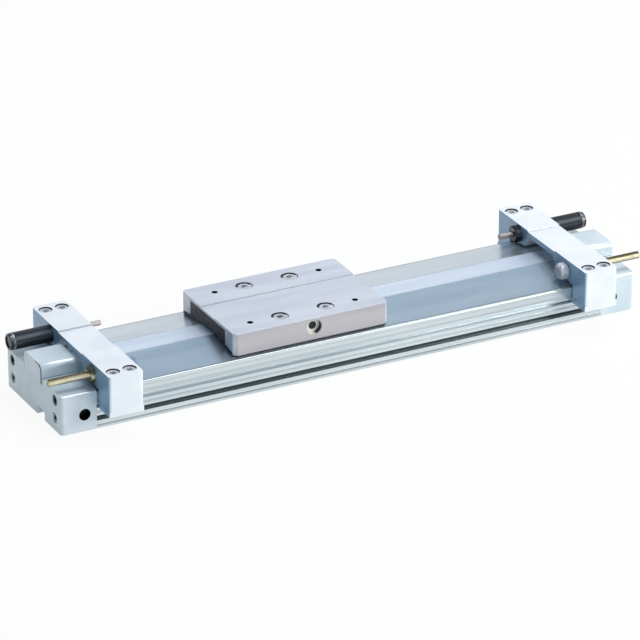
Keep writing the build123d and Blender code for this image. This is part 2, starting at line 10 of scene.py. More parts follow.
import bmesh
import bpy
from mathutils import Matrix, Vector


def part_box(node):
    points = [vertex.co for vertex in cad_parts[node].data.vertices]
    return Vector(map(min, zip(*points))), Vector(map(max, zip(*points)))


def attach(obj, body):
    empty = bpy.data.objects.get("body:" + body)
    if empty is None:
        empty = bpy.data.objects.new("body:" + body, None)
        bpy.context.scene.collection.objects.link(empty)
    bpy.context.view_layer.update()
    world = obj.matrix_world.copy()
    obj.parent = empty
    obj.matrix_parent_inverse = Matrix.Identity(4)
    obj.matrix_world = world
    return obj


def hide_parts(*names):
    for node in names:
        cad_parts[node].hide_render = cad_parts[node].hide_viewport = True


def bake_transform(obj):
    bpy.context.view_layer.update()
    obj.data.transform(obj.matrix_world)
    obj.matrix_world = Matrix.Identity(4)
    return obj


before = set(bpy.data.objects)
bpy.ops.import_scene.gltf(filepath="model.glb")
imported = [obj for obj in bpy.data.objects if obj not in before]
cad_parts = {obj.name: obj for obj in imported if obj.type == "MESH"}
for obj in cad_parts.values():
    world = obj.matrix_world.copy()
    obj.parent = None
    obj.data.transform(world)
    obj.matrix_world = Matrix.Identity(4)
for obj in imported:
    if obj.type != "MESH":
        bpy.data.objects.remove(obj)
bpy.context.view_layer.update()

# %% [markdown]
# ## A material that any machined piece can use
# Machined and drawn metal isn't one flat colour. It has fine lines that run the way the tool ran,
# and soft patches where the anodising took differently. Both come from a noise texture: stretched
# along one axis it gives lines, and left even it gives patches. The noise is read in object
# coordinates, which are metres here, so the grain has a real size and stays put on the piece.

# %% Helpers for procedural finishes
GRAIN_HEIGHT = 0.0002


def colour(red, green, blue):
    """Turn a screen colour, given from 0 to 255, into the linear values that a shader takes."""
    def linear(value):
        value = value / 255
        return value / 12.92 if value <= 0.04045 else ((value + 0.055) / 1.055) ** 2.4
    return (linear(red), linear(green), linear(blue), 1.0)


def start_material(name, metallic, roughness):
    material = bpy.data.materials.new(name)
    material.use_nodes = True
    shader = material.node_tree.nodes["Principled BSDF"]
    shader.inputs["Metallic"].default_value = metallic
    shader.inputs["Roughness"].default_value = roughness
    return material, material.node_tree, shader


def noise(tree, scale, detail):
    """Noise with so many features in a metre: one number, or three for X, Y and Z."""
    place = tree.nodes.new("ShaderNodeTexCoord")
    stretch = tree.nodes.new("ShaderNodeMapping")
    stretch.inputs["Scale"].default_value = scale if isinstance(scale, tuple) else (scale,) * 3
    texture = tree.nodes.new("ShaderNodeTexNoise")
    texture.inputs["Scale"].default_value = 1.0
    texture.inputs["Detail"].default_value = detail
    tree.links.new(place.outputs["Object"], stretch.inputs["Vector"])
    tree.links.new(stretch.outputs["Vector"], texture.inputs["Vector"])
    return texture.outputs["Fac"]


def ramp(tree, source, stops):
    """Colour ramp from (position, colour) stops."""
    node = tree.nodes.new("ShaderNodeValToRGB")
    while len(node.color_ramp.elements) < len(stops):
        node.color_ramp.elements.new(0.5)
    for element, (position, value) in zip(node.color_ramp.elements, stops):
        element.position = position
        element.color = value
    tree.links.new(source, node.inputs["Fac"])
    return node.outputs["Color"]


def bump(tree, shader, height, strength):
    node = tree.nodes.new("ShaderNodeBump")
    node.inputs["Strength"].default_value = strength
    node.inputs["Distance"].default_value = GRAIN_HEIGHT
    tree.links.new(height, node.inputs["Height"])
    tree.links.new(node.outputs["Normal"], shader.inputs["Normal"])


def grained(name, dark, light, metallic, roughness, lines, patches, relief):
    """Finish with fine lines and soft patches. lines and patches are noise scales."""
    material, tree, shader = start_material(name, metallic, roughness)
    patch = noise(tree, patches, 2.0)
    tint = ramp(tree, patch, [(0.35, colour(*dark)), (0.65, colour(*light))])
    tree.links.new(tint, shader.inputs["Base Color"])
    bump(tree, shader, noise(tree, lines, 4.0), relief)
    print("finish:", name)
    return material


# %% [markdown]
# ## Five finishes for aluminium
# The tube is drawn through a die, so its lines run lengthwise. The table was milled and brushed
# along the tube too, and it is a little warmer. The head covers are blasted, which leaves an even
# fine grain without direction. The portals are the palest pieces of all, and the yoke and pistons
# inside are plain machined alloy. One function makes them all, so they look related while each
# keeps its own colour and grain.

# %% Aluminium finishes
along = (6.0, 2600.0, 2600.0)
even = 1500.0
drawn_tube = grained("drawn_tube", (204, 214, 217), (216, 224, 226), 0.75, 0.26,
                     along, (9, 60, 60), 0.15)
blasted_cover = grained("blasted_cover", (208, 220, 225), (222, 231, 235), 0.35, 0.36,
                        even, 50, 0.2)
brushed_table = grained("brushed_table", (208, 210, 219), (220, 221, 229), 0.4, 0.40,
                        along, (12, 80, 80), 0.25)
pale_bridge = grained("pale_bridge", (242, 243, 246), (251, 251, 252), 0.3, 0.32,
                      even, 40, 0.08)
plain_alloy = grained("plain_alloy", (180, 182, 186), (200, 202, 206), 0.6, 0.35,
                      even, 60, 0.2)

# %% [markdown]
# ## Steel, zinc, rubber and resin
# The small parts carry the contrast. Socket screws are plain steel, the stop bolts are zinc plated
# and passivated yellow, and the absorbers are black. Covers and scrapers are black moulded resin
# with a faint orange-peel grain, and the band over the slot is a smooth pale strip.

# %% Finishes of the small parts
screw_steel = grained("screw_steel", (112, 124, 128), (150, 160, 163), 0.8, 0.35, even, 300, 0.2)
light_steel = grained("light_steel", (206, 207, 212), (232, 232, 236), 0.5, 0.35, even, 300, 0.2)
dull_steel = grained("dull_steel", (96, 100, 106), (132, 136, 142), 0.6, 0.4, even, 200, 0.2)
# A darker, dull blue-grey copy for the head of the left stop bolt, which paints the shade it lies in.
shaded_bolt_head = grained("shaded_bolt_head", (120, 136, 156), (150, 166, 184), 0.1, 0.7, even, 300, 0.1)
bright_plate = grained("bright_plate", (196, 198, 204), (222, 223, 228), 0.8, 0.25,
                       along, 80, 0.15)
ground_rod = grained("ground_rod", (150, 138, 134), (176, 164, 160), 0.4, 0.45,
                     along, (120, 200, 200), 0.05)
plug_metal = grained("plug_metal", (226, 222, 212), (244, 241, 232), 0.2, 0.35, even, 200, 0.2)
yellow_zinc = grained("yellow_zinc", (236, 224, 190), (250, 243, 218), 0.6, 0.3,
                      even, (120, 200, 200), 0.1)
black_coat = grained("black_coat", (26, 28, 32), (46, 49, 55), 0.5, 0.22, even, 90, 0.1)
black_resin = grained("black_resin", (20, 21, 24), (66, 66, 70), 0.0, 0.5, 2200, 260, 0.4)
seal_rubber = grained("seal_rubber", (18, 18, 19), (30, 30, 32), 0.0, 0.7, even, 90, 0.3)
pale_band = grained("pale_band", (206, 216, 229), (218, 226, 238), 0.3, 0.32,
                    along, (10, 90, 90), 0.1)
slide_resin = grained("slide_resin", (214, 210, 196), (226, 222, 208), 0.0, 0.5, even, 60, 0.2)
magnet_iron = grained("magnet_iron", (48, 48, 50), (64, 64, 66), 0.4, 0.6, even, 100, 0.3)

# %% [markdown]
# ## Masks in the coordinates of the part
# Some of what the eye reads as shape is only colour. A deep hole looks black because little light
# gets in, and a groove drawn by the die is too shallow to be worth a facet in the imported model,
# though its shade shows as a dark line. Such shade is painted into the colour, as are a few
# highlights and darker sides. A mask is 1 where the paint goes and 0 elsewhere. It is built from
# object coordinates, and since all imported pieces share one frame, it is written with the part's own
# sizes.

# %% Masks and paint
def compute(tree, operation, first, second=None):
    node = tree.nodes.new("ShaderNodeMath")
    node.operation = operation
    for socket, value in zip(node.inputs, (first, second)):
        if isinstance(value, (int, float)):
            socket.default_value = value
        elif value is not None:
            tree.links.new(value, socket)
    return node.outputs[0]


def both(tree, first, second):
    return compute(tree, "MULTIPLY", first, second)


def coordinate(tree, axis):
    place = tree.nodes.new("ShaderNodeTexCoord")
    split = tree.nodes.new("ShaderNodeSeparateXYZ")
    tree.links.new(place.outputs["Object"], split.inputs["Vector"])
    return split.outputs[axis]


def offset(tree, axis, start):
    """Signed distance in metres from a place on an axis."""
    return compute(tree, "SUBTRACT", coordinate(tree, axis), start)


def away_from(tree, axis, start=0.0):
    """Distance in metres from a place on an axis, the same to both sides."""
    return compute(tree, "ABSOLUTE", offset(tree, axis, start))


def radius_of(tree, first, second):
    """Distance from an axis, given the distances along the two others."""
    squares = compute(tree, "ADD", both(tree, first, first), both(tree, second, second))
    return compute(tree, "SQRT", squares)


def span(tree, axis, low, high):
    """Runs from 0 to 1 between two places on an axis, both in millimetres."""
    return compute(tree, "MULTIPLY", offset(tree, axis, low / 1000), 1000 / (high - low))


def between(tree, x=None, y=None, z=None):
    """Mask that is 1 inside a box given in millimetres, and inside its mirror images."""
    mask = 1.0
    for axis, limits in (("X", x), ("Y", y), ("Z", z)):
        if limits:
            value = away_from(tree, axis)
            mask = both(tree, mask, compute(tree, "GREATER_THAN", value, limits[0] / 1000))
            mask = both(tree, mask, compute(tree, "LESS_THAN", value, limits[1] / 1000))
    return mask


def facing_left(tree, limit):
    """Mask that is 1 on faces that look to the left end of the part."""
    surface = tree.nodes.new("ShaderNodeNewGeometry")
    split = tree.nodes.new("ShaderNodeSeparateXYZ")
    tree.links.new(surface.outputs["Normal"], split.inputs["Vector"])
    return compute(tree, "GREATER_THAN", both(tree, split.outputs["X"], -1.0), limit)


def paint(material, mask, tint, how="MIX"):
    """Lay a colour over the finish where the mask is 1. tint is a colour or a colour socket."""
    tree = material.node_tree
    target = tree.nodes["Principled BSDF"].inputs["Base Color"]
    mix = tree.nodes.new("ShaderNodeMix")
    mix.data_type = "RGBA"
    mix.blend_type = how
    if isinstance(mask, (int, float)):
        mix.inputs["Factor"].default_value = mask
    else:
        tree.links.new(mask, mix.inputs["Factor"])
    tree.links.new(target.links[0].from_socket, mix.inputs[6])
    if isinstance(tint, tuple):
        mix.inputs[7].default_value = tint
    else:
        tree.links.new(tint, mix.inputs[7])
    tree.links.new(mix.outputs[2], target)
    print("paint:", material.name, how.lower())


def grey(value):
    return (value, value, value, 1.0)


# This black is painted shade inside holes, counterbores and sockets and on shadowed rims; it also
# draws the dark joint line on the head covers.
shade_and_joint_black = colour(20, 24, 28)

# %% [markdown]
# ## Paint on the tube
# The T-slot gets painted light at its floor and painted shade in its mouth. The side carries lines of
# painted shade where the die drew shallow grooves, given as one ramp from the foot of the tube to its
# rim. The rim itself is darkened, a painted shade that keeps its rounded edge from standing out as a
# white line. Both slopes of the roof get a slight painted shade, the far one and the near one each
# in its own tone.

# %% Paint the tube
SLOT = (3.5, 12.5)
RIM_HEIGHT = 32.0
tree = drawn_tube.node_tree
# Painted light on the floor of the T-slot, and painted shade in its mouth.
paint(drawn_tube, between(tree, y=(39.0, 42.6), z=SLOT), colour(236, 240, 240))
paint(drawn_tube, between(tree, y=(42.6, 50.3), z=SLOT), colour(138, 150, 154))
# Painted shade: a ramp of dark lines up the side, where the die drew shallow grooves.
groove_shade_lines = [(0.0, 1.0), (0.045, 0.95), (0.06, 0.62), (0.085, 0.66), (0.1, 1.0),
               (0.38, 1.0), (0.41, 0.8), (0.44, 1.0), (0.70, 1.0), (0.735, 0.78),
               (0.76, 0.9), (0.79, 1.0), (0.86, 0.97), (0.88, 0.86), (0.91, 1.0)]
lines = ramp(tree, span(tree, "Z", 0.0, RIM_HEIGHT),
             [(spot, grey(value)) for spot, value in groove_shade_lines])
paint(drawn_tube, between(tree, y=(50.0, 51.1), z=(0.0, RIM_HEIGHT)), lines, "MULTIPLY")
# Painted shade that dims the highlight along the rounded rim.
paint(drawn_tube, between(tree, y=(48.0, 50.6), z=(30.4, 33.2)), grey(0.45), "MULTIPLY")
# Painted shade on the two roof slopes, each in its own tone.
roof_slope_shade = ramp(tree, span(tree, "Y", -50.0, 50.0),
              [(0.0, colour(232, 236, 242)), (0.36, colour(228, 235, 243)), (0.46, grey(1.0)),
               (0.55, grey(1.0)), (0.62, colour(236, 238, 244)), (1.0, colour(236, 238, 244))])
paint(drawn_tube, between(tree, y=(10.5, 48.0), z=(31.0, 38.0)), roof_slope_shade, "MULTIPLY")

# %% [markdown]
# ## Paint on the head covers
# The air ports get painted shade inside. A band clamp is a rounded block on top of its head cover,
# and on the end face the joint between the two shows as a dark line: over the top, round the near
# corner and down the side. Two straight boxes and a quarter of a ring make that line.

# %% Paint the head covers
CORNER_Y, CORNER_Z, CORNER_RADIUS = -0.0106, 0.0394, 0.0043
HALF_LINE = 0.0012
END_FACE = 0.2522
tree = blasted_cover.node_tree
# Painted shade inside the air ports.
paint(blasted_cover, between(tree, x=(227.5, 238.5), y=(38.0, 50.9), z=(8.5, 19.5)), shade_and_joint_black)
rise = offset(tree, "Z", CORNER_Z)
sideways = offset(tree, "Y", CORNER_Y)
from_ring = compute(tree, "ABSOLUTE",
                    compute(tree, "SUBTRACT", radius_of(tree, rise, sideways), CORNER_RADIUS))
quarter = both(tree, compute(tree, "GREATER_THAN", rise, 0.0),
               compute(tree, "LESS_THAN", sideways, 0.0))
arc = both(tree, compute(tree, "LESS_THAN", from_ring, HALF_LINE), quarter)
straight = compute(tree, "MAXIMUM", between(tree, y=(13.7, 16.1), z=(28.6, 39.4)),
                   between(tree, y=(4.0, 10.7), z=(43.5, 44.5)))
straight = both(tree, straight, compute(tree, "LESS_THAN", coordinate(tree, "Y"), 0.0))
at_the_end = compute(tree, "GREATER_THAN", away_from(tree, "X"), END_FACE)
paint(blasted_cover, both(tree, compute(tree, "MAXIMUM", arc, straight), at_the_end), shade_and_joint_black)

# %% [markdown]
# ## Paint on the portals
# Each portal has four counterbores, painted dark all the way down as painted shade, and a small
# step beside its raised pad, marked by a thin grey line of painted shade. The left faces of the real
# portals look into the dark side of the room and so look a dull blue. They get that as painted shade,
# a tint that follows the direction of the face.

# %% Paint the portals
tree = pale_bridge.node_tree
# Painted shade in the four counterbores of each portal.
for side, low, high in ((-1, 194.0, 220.0), (1, 197.5, 223.5)):
    bore_shade = between(tree, x=(low, high), y=(56.8, 68.2), z=(22.5, 51.3))
    this_end = compute(tree, "GREATER_THAN", both(tree, coordinate(tree, "X"), side), 0.0)
    paint(pale_bridge, both(tree, bore_shade, this_end), shade_and_joint_black)
# Painted shade: a dull blue tint on the faces that look to the left.
paint(pale_bridge, facing_left(tree, 0.7), colour(160, 190, 214), "MULTIPLY")
# Painted shade: a thin grey line at the step beside the raised pad.
paint(pale_bridge, between(tree, y=(21.4, 22.9), z=(50.2, 51.38)), colour(168, 172, 180))

# %% [markdown]
# ## Paint on the table
# The tapped holes of the table and the walls round its screws get painted shade. Its long sides get
# a painted tint of shade, warmer and a little darker than its top, and a thin line of painted shade
# marks the step on each side of the channel between the two pads.
# The plated screws sit low in their counterbores, so the far part of each rim lies in shadow.

# %% Paint the table and its screws
table_low, table_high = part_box("slide_table")
TABLE_MIDDLE = (table_low[0] + table_high[0]) / 2
SCREW_X, SCREW_Y = 0.020, 0.0315
tree = brushed_table.node_tree
inside = compute(tree, "LESS_THAN", away_from(tree, "X", TABLE_MIDDLE), 0.055)
# Painted shade in the tapped holes and round the screws.
paint(brushed_table, both(tree, between(tree, y=(20.0, 42.0), z=(40.0, 51.42)), inside), shade_and_joint_black)
# Painted shade: a warmer, slightly darker tint on the long sides.
paint(brushed_table, between(tree, y=(46.6, 47.2), z=(30.0, 51.2)), colour(228, 220, 214),
      "MULTIPLY")
# Painted shade: a thin line at the step beside the channel.
paint(brushed_table, between(tree, y=(12.3, 13.7), z=(50.6, 51.48)), colour(160, 161, 168))

# Painted shadow on the far part of each screw rim.
tree = bright_plate.node_tree
across = compute(tree, "SUBTRACT", away_from(tree, "X", TABLE_MIDDLE), SCREW_X)
back = both(tree, compute(tree, "SIGN", coordinate(tree, "Y")),
            compute(tree, "SUBTRACT", away_from(tree, "Y"), SCREW_Y))
radius = radius_of(tree, across, back)
rim = both(tree, compute(tree, "GREATER_THAN", radius, 0.0048),
           compute(tree, "LESS_THAN", radius, 0.008))
paint(bright_plate, both(tree, rim, compute(tree, "GREATER_THAN", back, 0.0008)), shade_and_joint_black)

# %% [markdown]
# ## Paint on round bars
# A small bright cylinder mirrors the whole room in a few pixels, so its tones depend on height
# more than on anything else. Those mirrored tones are painted along the height. The stop bolts get
# a painted reflection, bright in the middle and darker at the top and underneath. The coat of an
# absorber gets painted highlights along its upper side and is black below. The plug in the side of
# the table gets painted shade in its socket and on its right wall, and the upper screws of the head
# covers get painted shade for the deep shadow they sit in.

# %% Paint the bolts, absorbers, plug and head screws
BAR_LOW, BAR_HIGH = 34.0, 50.0
PLUG_X, PLUG_Z, SOCKET_RADIUS = -0.0335, 0.0435, 0.0033
# Painted reflection on the stop bolts: bands of light and shade along the height.
bolt_reflection_tones = [(0.30, colour(118, 108, 84)), (0.40, colour(176, 166, 132)), (0.47, grey(1.0)),
              (0.60, grey(1.0)), (0.65, colour(140, 132, 104)), (0.8, colour(120, 118, 96))]
tree = yellow_zinc.node_tree
paint(yellow_zinc, 1.0, ramp(tree, span(tree, "Z", BAR_LOW, BAR_HIGH), bolt_reflection_tones), "MULTIPLY")

# Painted highlight: light streaks along the upper side of the absorber coat.
coat_highlight_tones = [(0.2, colour(8, 9, 12)), (0.5, colour(24, 26, 30)), (0.62, colour(84, 88, 94)),
              (0.70, colour(30, 32, 36)), (0.84, colour(128, 132, 138)), (0.93, colour(54, 57, 62))]
tree = black_coat.node_tree
paint(black_coat, 0.85, ramp(tree, span(tree, "Z", BAR_LOW, BAR_HIGH), coat_highlight_tones))

tree = plug_metal.node_tree
radius = radius_of(tree, away_from(tree, "X", PLUG_X), offset(tree, "Z", PLUG_Z))
# Painted shade in the socket of the plug.
paint(plug_metal, compute(tree, "LESS_THAN", radius, SOCKET_RADIUS), shade_and_joint_black)
# Painted shade on the faces of the plug that look to the left.
paint(plug_metal, facing_left(tree, 0.2), shade_and_joint_black)

tree = screw_steel.node_tree
# Painted shade on the upper head screws.
upper_screw_shade = between(tree, x=(200.0, 260.0), y=(30.0, 48.0), z=(20.0, 34.0))
paint(screw_steel, upper_screw_shade, colour(34, 38, 42))

# %% [markdown]
# ## Which piece wears which finish
# Each CAD node keeps its mesh and takes a material. A table from finish to pieces reads like the
# parts list of a workshop, and a check at the end shows a piece that was forgotten.

# %% Dress the nodes
wears = {
    drawn_tube: ["cylinder_tube"],
    blasted_cover: ["head_cover_left", "head_cover_right", "band_clamp_left", "band_clamp_right"],
    brushed_table: ["slide_table"],
    pale_bridge: ["adjuster_bridge_left", "adjuster_bridge_right",
                  "clamp_bars_left", "clamp_bars_right"],
    plain_alloy: ["piston_yoke", "piston_left", "piston_right"],
    screw_steel: ["clamp_screws", "head_screws", "port_plugs", "piston_pins"],
    light_steel: ["bridge_screws"],
    bright_plate: ["table_screws"],
    ground_rod: ["absorber_rod_left", "absorber_rod_right"],
    plug_metal: ["side_plug"],
    yellow_zinc: ["adjusting_bolt_left", "adjusting_bolt_right", "bolt_lock_nuts"],
    black_coat: ["shock_absorber_left", "shock_absorber_right"],
    black_resin: ["end_cover_left", "end_cover_right", "side_scrapers"],
    seal_rubber: ["tube_gasket_left", "tube_gasket_right", "piston_seals"],
    pale_band: ["dust_seal_band", "inner_seal_band"],
    slide_resin: ["roof_bearings", "band_guides", "band_separators", "wear_rings"],
    magnet_iron: ["piston_magnet"],
}
dressed = set()
for material, names in wears.items():
    for name in names:
        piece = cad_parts[name]
        piece.data.materials.clear()
        piece.data.materials.append(material)
        dressed.add(name)
print("not dressed:", sorted(set(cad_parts) - dressed))

# %% [markdown]
# ## Pieces turned on a lathe
# An absorber body, a stop bolt and a nut are all rows of rings along one axis. A ring is round, or
# it follows a hexagon where the wrench grips, and a limit on its radius rounds the corners as the
# chamfer on a real bolt head does. Skinning ring after ring gives the whole outside in one mesh,
# with sockets and recesses included, because a ring may also step back inwards.

# %% Rings and skin
RING = 48


def ring(x, centre, radius, flats=None):
    """Points of one ring about an axis along X. flats is the width across a hexagon's flats."""
    points = []
    for step in range(RING):
        angle = 2 * math.pi * step / RING
        reach = radius
        if flats:
            reach = min(radius, flats / 2 / math.cos(angle % (math.pi / 3) - math.pi / 6))
        points.append((x, centre[0] + reach * math.cos(angle), centre[1] + reach * math.sin(angle)))
    return points


def skin(rings):
    """Points and faces that join each ring to the next and close both ends."""
    count = len(rings[0])
    points = [point for row in rings for point in row]
    last = range(len(points) - count, len(points))
    faces = [tuple(range(count)), tuple(reversed(last))]
    for row in range(len(rings) - 1):
        for step in range(count):
            a = row * count + step
            b = row * count + (step + 1) % count
            faces.append((a, b, b + count, a + count))
    return points, faces


# %% [markdown]
# ## A real thread
# A screw thread is one groove wound round a bar. The rows of points below climb by one pitch in
# each turn, crest and root by turns, and the seam joins a row to the one that is a pitch further
# on. The CAD pieces are smooth at the crest, so the thread is cut inwards and stays in their size.

# %% Thread and assembly of a mesh
def thread(x0, x1, centre, radius, depth, pitch):
    """Points and faces of a helical thread between two stations along X."""
    rows = 2 * int((x1 - x0) / pitch) + 5
    points = []
    for row in range(rows):
        reach = radius - depth * (row % 2)
        for step in range(RING):
            angle = 2 * math.pi * step / RING
            x = min(max(x0 + (row / 2 + step / RING - 1) * pitch, x0), x1)
            points.append((x, centre[0] + reach * math.cos(angle),
                           centre[1] + reach * math.sin(angle)))
    faces = []
    for row in range(rows - 1):
        for step in range(RING - 1):
            a = row * RING + step
            faces.append((a, a + 1, a + 1 + RING, a + RING))
        if row + 3 < rows:
            a = row * RING + RING - 1
            faces.append((a, (row + 2) * RING, (row + 3) * RING, a + RING))
    return points, faces


def assemble(name, body, finish, parts, stands_for=()):
    """One mesh piece from several (points, faces). It rides on a body, unless body is None."""
    points = []
    faces = []
    for more_points, more_faces in parts:
        shift = len(points)
        points += more_points
        faces += [tuple(index + shift for index in face) for face in more_faces]
    mesh = bpy.data.meshes.new(name)
    mesh.from_pydata(points, [], faces)
    work = bmesh.new()
    work.from_mesh(mesh)
    bmesh.ops.remove_doubles(work, verts=work.verts, dist=0.000002)
    bmesh.ops.dissolve_degenerate(work, edges=work.edges, dist=0.000001)
    bmesh.ops.recalc_face_normals(work, faces=work.faces)
    work.to_mesh(mesh)
    work.free()
    mesh.materials.append(finish)
    piece = bpy.data.objects.new(name, mesh)
    bpy.context.scene.collection.objects.link(piece)
    if body:
        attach(piece, body)
    if stands_for:
        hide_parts(*stands_for)
    print(name, "faces:", len(mesh.polygons))
    return piece


# %% [markdown]
# ## Shock absorbers
# The body is threaded from end to end so that it can be screwed through its bridge. The outer end
# has a smooth black cap with a dished face, and a plain steel ring sits between cap and thread.
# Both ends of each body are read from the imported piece, so the two can't drift apart.

# %% Turn the absorbers
ABSORBER_CENTRE = (0.038, 0.043)
M14_RADIUS, M14_DEPTH, M14_PITCH = 0.007, 0.0003, 0.0015
CAP_RADIUS, RING_RADIUS, CORE_RADIUS, ROD_HOLE = 0.0066, 0.0069, 0.0062, 0.00225
CAP_END, THREAD_START, CHAMFER, ROD_HOLE_DEPTH = 0.0024, 0.0044, 0.0006, 0.006


def absorber(side, name):
    """side is -1 for the left end and 1 for the right one."""
    low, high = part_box(name)
    outer, inner = (low[0], high[0]) if side < 0 else (high[0], low[0])
    step = -side
    centre = ABSORBER_CENTRE
    cap = skin([
        ring(outer + step * 0.0008, centre, 0.0046),
        ring(outer, centre, 0.0048),
        ring(outer, centre, 0.0060),
        ring(outer + step * CHAMFER, centre, CAP_RADIUS),
        ring(outer + step * CAP_END, centre, CAP_RADIUS),
        ring(outer + step * CAP_END, centre, CORE_RADIUS),
        ring(inner - step * CHAMFER, centre, CORE_RADIUS),
        ring(inner, centre, 0.0058),
        ring(inner, centre, ROD_HOLE),
        ring(inner - step * ROD_HOLE_DEPTH, centre, ROD_HOLE),
    ])
    start, stop = sorted((outer + step * THREAD_START, inner - step * CHAMFER))
    turns = thread(start, stop, centre, M14_RADIUS, M14_DEPTH, M14_PITCH)
    assemble("threaded_" + name, "cylinder", black_coat, [cap, turns], (name,))
    collar = skin([
        ring(outer + step * 0.0022, centre, CORE_RADIUS),
        ring(outer + step * 0.0022, centre, RING_RADIUS),
        ring(outer + step * 0.0042, centre, RING_RADIUS),
        ring(outer + step * 0.0042, centre, CORE_RADIUS),
    ])
    assemble("cap_ring_" + name, "cylinder", dull_steel, [collar])


absorber(-1, "shock_absorber_left")
absorber(1, "shock_absorber_right")

# %% [markdown]
# ## Stop bolts and their nuts
# Each stop bolt is an M6 screw with a large hexagon head on the inside, where the table meets it,
# and a hexagon socket in its outer end for the key that turns it. Its nut locks against the bridge.
# Both heads have the rounded corners of a turned hexagon.

# %% Turn the bolts and nuts
BOLT_CENTRE = (-0.041, 0.042)
M6_RADIUS, M6_DEPTH, M6_PITCH = 0.003, 0.0005, 0.001
BOLT_CORE, KEY_RADIUS, KEY_FLATS = 0.0026, 0.0016, 0.0025
HEAD_HEIGHT, HEAD_RADIUS, HEAD_FLATS = 0.0075, 0.0069, 0.012
NUT_HEIGHT, NUT_HOLE, NUT_RADIUS, NUT_FLATS = 0.003, 0.0031, 0.0075, 0.013


def stop_bolt(side, name, head_material):
    """side is -1 for the left end and 1 for the right one. The bolt is a body of its own."""
    low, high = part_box(name)
    outer, inner = (low[0], high[0]) if side < 0 else (high[0], low[0])
    step = -side
    centre = BOLT_CENTRE
    seat = inner - step * HEAD_HEIGHT
    bar = skin([
        ring(outer + step * 0.0025, centre, KEY_RADIUS, KEY_FLATS),
        ring(outer, centre, KEY_RADIUS, KEY_FLATS),
        ring(outer, centre, 0.0024),
        ring(outer + step * 0.0004, centre, BOLT_CORE),
        ring(seat, centre, BOLT_CORE),
    ])
    start, stop = sorted((outer + step * 0.0004, seat))
    turns = thread(start, stop, centre, M6_RADIUS, M6_DEPTH, M6_PITCH)
    head = skin([
        ring(seat, centre, 0.0058, HEAD_FLATS),
        ring(seat + step * 0.0008, centre, HEAD_RADIUS, HEAD_FLATS),
        ring(inner - step * 0.0016, centre, HEAD_RADIUS, HEAD_FLATS),
        ring(inner - step * 0.0005, centre, 0.0058, HEAD_FLATS),
        ring(inner, centre, 0.0042),
    ])
    assemble("threaded_" + name, name, yellow_zinc, [bar, turns], (name,))
    assemble("head_of_" + name, name, head_material, [head])


def stop_nut(face, side):
    """Nut against the outer face of a bridge. side is -1 on the left and 1 on the right."""
    end = face + side * NUT_HEIGHT
    return skin([
        ring(face, BOLT_CENTRE, NUT_HOLE),
        ring(face, BOLT_CENTRE, 0.0064, NUT_FLATS),
        ring(face + side * 0.0006, BOLT_CENTRE, NUT_RADIUS, NUT_FLATS),
        ring(face + side * 0.0022, BOLT_CENTRE, NUT_RADIUS, NUT_FLATS),
        ring(end, BOLT_CENTRE, 0.0062, NUT_FLATS),
        ring(end, BOLT_CENTRE, NUT_HOLE),
    ])


# The left head wears a darker blue-grey material as painted shade; the right head wears the pale
# light steel.
stop_bolt(-1, "adjusting_bolt_left", shaded_bolt_head)
stop_bolt(1, "adjusting_bolt_right", light_steel)
nut_low, nut_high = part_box("bolt_lock_nuts")
nuts = [stop_nut(nut_low[0] + NUT_HEIGHT, -1), stop_nut(nut_high[0] - NUT_HEIGHT, 1)]
assemble("turned_lock_nuts", "cylinder", yellow_zinc, nuts, ("bolt_lock_nuts",))

# %% [markdown]
# ## The plug in the side of the table
# A socket plug closes the tapped hole in the near side, a few millimetres below the surface. From
# the upper left the eye meets a pale plug face with a dark socket, a lit lower wall and a dark
# right wall; the socket and the right wall are darkened with painted shade. The rings are made
# along X like the others and turned to the near side.

# %% Turn the plug
PLUG_FACE, PLUG_KEY_RADIUS, PLUG_KEY_FLATS = 0.0034, 0.0034, 0.006

plug_low, plug_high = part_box("side_plug")
plug_length = plug_high[1] - plug_low[1]
plug_x, plug_z = (plug_low[0] + plug_high[0]) / 2, (plug_low[2] + plug_high[2]) / 2
outside = (plug_high[0] - plug_low[0]) / 2
points, faces = skin([
    ring(plug_length, (0, 0), outside),
    ring(0, (0, 0), outside),
    ring(0, (0, 0), outside - 0.0003),
    ring(PLUG_FACE, (0, 0), outside - 0.0005),
    ring(PLUG_FACE, (0, 0), PLUG_KEY_RADIUS, PLUG_KEY_FLATS),
    ring(plug_length - 0.0002, (0, 0), PLUG_KEY_RADIUS, PLUG_KEY_FLATS),
])
turned = [(plug_x + y, plug_low[1] + x, plug_z + z) for x, y, z in points]
assemble("recessed_side_plug", "carriage", plug_metal, [(turned, faces)],
         ("side_plug",))

# %% [markdown]
# ## Bands that give way under the table
# The outer band lies in its recess and is lifted over the yoke where the table stands. The inner
# band dips under it in the same way. Both are clamped at the ends of the cylinder, so the arch and
# the dip travel with the table while the ends stay. Each band is made as two halves that meet under
# the table.

# %% Lay the bands
ARCH_TOP, ARCH_FOOT = 0.030, 0.050
DIP_BOTTOM, DIP_FOOT, WINGS_END = 0.030, 0.054, 0.055
OUTER_THICKNESS, INNER_THICKNESS = 0.0007, 0.0013
STRIP_HALF, STRIP_HEIGHT = 0.0037, 0.0316
BORE_HEIGHT, WINGS_RADIUS = 0.019, 0.0126


def strip(stations, profile):
    """Bar along X through (x, z) stations. profile holds (y, z) points round the section."""
    return skin([[(x, y, z + rise) for y, rise in profile] for x, z in stations])


def flat_section(half, thickness, edge=0.0002):
    return [(-half, 0.0), (half, 0.0), (half, thickness - edge), (half - edge, thickness),
            (edge - half, thickness), (-half, thickness - edge)]


def half_band(name, parts, stands_for):
    """Half of a band, made as one mesh with its transform baked in."""
    piece = assemble(name, None, pale_band, parts, stands_for)
    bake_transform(piece)


